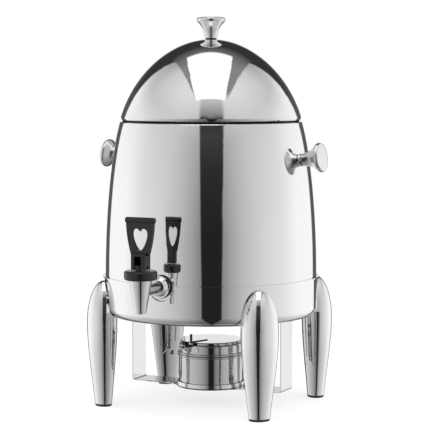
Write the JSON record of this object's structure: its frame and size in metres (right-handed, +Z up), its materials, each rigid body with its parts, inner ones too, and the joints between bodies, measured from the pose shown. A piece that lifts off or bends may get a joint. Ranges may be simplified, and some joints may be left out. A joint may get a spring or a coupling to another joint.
{
  "type": "coffee urn",
  "caption": "Egg-shaped steel coffee urn on swelling legs, with a domed lift-off lid, side knobs, a lever tap in front and a fuel burner with a swivelling snuffer below.",
  "frame": {"origin": "middle of the whole object's footprint, on the surface it stands on", "axes": "+Z up, the tap faces -Y, the side knobs point along +X and -X"},
  "size_m": [0.3332, 0.3672, 0.5247],
  "materials": {
    "mirror_steel": "mirror-polished stainless steel",
    "leg_steel": "mirror-polished pressed stainless steel",
    "satin_steel": "fine turned satin",
    "bracket_steel": "bright rolled sheet",
    "burner_steel": "polished pressed sheet",
    "fastener_steel": "plain bright",
    "tap_chrome": "polished chrome plate",
    "spring_steel": "drawn wire",
    "black_plastic": "fine moulded grain, half sheen",
    "black_rubber": "matt moulded rubber",
    "seat_silicone": "soft milky silicone"
  },
  "bodies": {
    "stand": {"urn_body": "mirror_steel", "base_ring": "mirror_steel", "leg_outer_front_left": "leg_steel", "leg_inner_front_left": "leg_steel", "foot_cap_front_left": "black_rubber", "leg_outer_front_right": "leg_steel", "leg_inner_front_right": "leg_steel", "foot_cap_front_right": "black_rubber", "leg_outer_rear_right": "leg_steel", "leg_inner_rear_right": "leg_steel", "foot_cap_rear_right": "black_rubber", "leg_outer_rear_left": "leg_steel", "leg_inner_rear_left": "leg_steel", "foot_cap_rear_left": "black_rubber", "handle_knob_right": "satin_steel", "handle_knob_left": "satin_steel", "handle_washer_right": "black_rubber", "handle_washer_left": "black_rubber", "tap_wall_washer": "black_rubber", "tap_inner_gasket": "black_rubber", "handle_screw_right": "fastener_steel", "handle_screw_left": "fastener_steel", "leg_cover_screws": "fastener_steel", "leg_ring_screws": "fastener_steel", "bracket_rivets": "fastener_steel", "burner_bracket": "bracket_steel", "tap_body": "tap_chrome", "tap_lock_nut": "tap_chrome", "tap_bonnet": "black_plastic", "tap_spring": "spring_steel"},
    "lid": {"lid_dome": "mirror_steel", "lid_knob": "satin_steel", "lid_knob_washer": "black_rubber", "lid_knob_screw": "fastener_steel"},
    "lever": {"tap_lever": "black_plastic", "tap_lever_pin": "black_plastic"},
    "stem": {"tap_stem": "fastener_steel", "tap_stem_pin": "fastener_steel", "tap_seat_plug": "seat_silicone"},
    "fuel_cup": {"fuel_cup": "burner_steel", "cup_collar": "burner_steel", "collar_rivet": "fastener_steel", "snuffer_pin": "fastener_steel"},
    "snuffer": {"snuffer_cover": "burner_steel"}
  },
  "joints": [
    {"name": "lid_lift", "type": "slide", "parent": "stand", "child": "lid", "axis": [0, 0, 1], "range_m": [0, 0.12]},
    {"name": "tap_lever_pull", "type": "hinge", "parent": "stand", "child": "lever", "pos_m": [0, -0.16823, 0.205], "axis": [1, 0, 0], "range_deg": [0, 25], "stiffness_Nm_per_rad": 0.06, "springref_deg": -45.84},
    {"name": "tap_stem_lift", "type": "slide", "parent": "stand", "child": "stem", "axis": [0, 0, 1], "range_m": [0, 0.0026], "deforming": ["tap_spring"]},
    {"name": "fuel_cup_lift", "type": "slide", "parent": "stand", "child": "fuel_cup", "axis": [0, 0, 1], "range_m": [0, 0.02]},
    {"name": "snuffer_swivel", "type": "hinge", "parent": "fuel_cup", "child": "snuffer", "pos_m": [-0.01778, -0.01269, 0.0813], "axis": [0, 0, -1], "range_deg": [0, 100]}
  ],
  "couplings": [
    {"joint": "tap_stem_lift", "follows": "tap_lever_pull", "m_per_rad": 0.00562}
  ]
}
